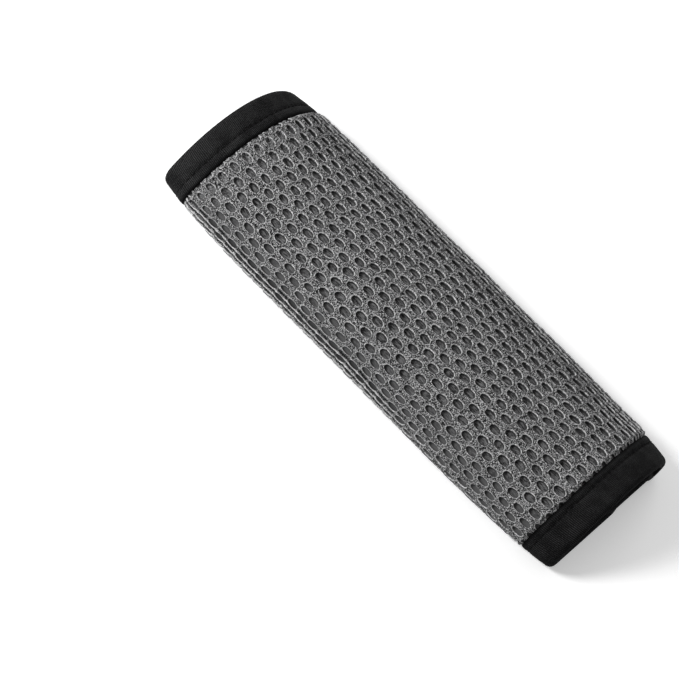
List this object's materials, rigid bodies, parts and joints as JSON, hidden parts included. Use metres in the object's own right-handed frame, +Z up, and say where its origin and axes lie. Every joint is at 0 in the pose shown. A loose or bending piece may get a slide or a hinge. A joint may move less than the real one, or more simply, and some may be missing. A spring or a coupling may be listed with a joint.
{
  "type": "seat belt shoulder pad",
  "caption": "Padded air-mesh pad with bound edges that wraps round a seat belt in a flat tube and closes underneath with a hook and loop flap.",
  "frame": {"origin": "centre of the outline on the surface the pad lies on, crown up", "axes": "+X along the belt, +Y across it towards the fold that the inner flap leaves, +Z up from the closing flap to the crown"},
  "size_m": [0.2, 0.0792, 0.0244],
  "materials": {
    "air_mesh": "grey three-dimensional air mesh, salt and pepper knit with long oval holes over a darker streaked back",
    "foam": "thin dark open-cell foam sheet",
    "lining": "plain black knitted lining",
    "binding_tape": "black ribbed binding tape with a sunk lock-stitch line",
    "hook_tape": "black hook strip on a woven ground",
    "loop_tape": "black brushed loop strip"
  },
  "bodies": {
    "root": {"face_mesh": "air_mesh", "foam_padding": "foam", "inner_lining": "lining", "edge_binding": "binding_tape", "hook_strip": "hook_tape", "loop_strip": "loop_tape"}
  },
  "joints": []
}
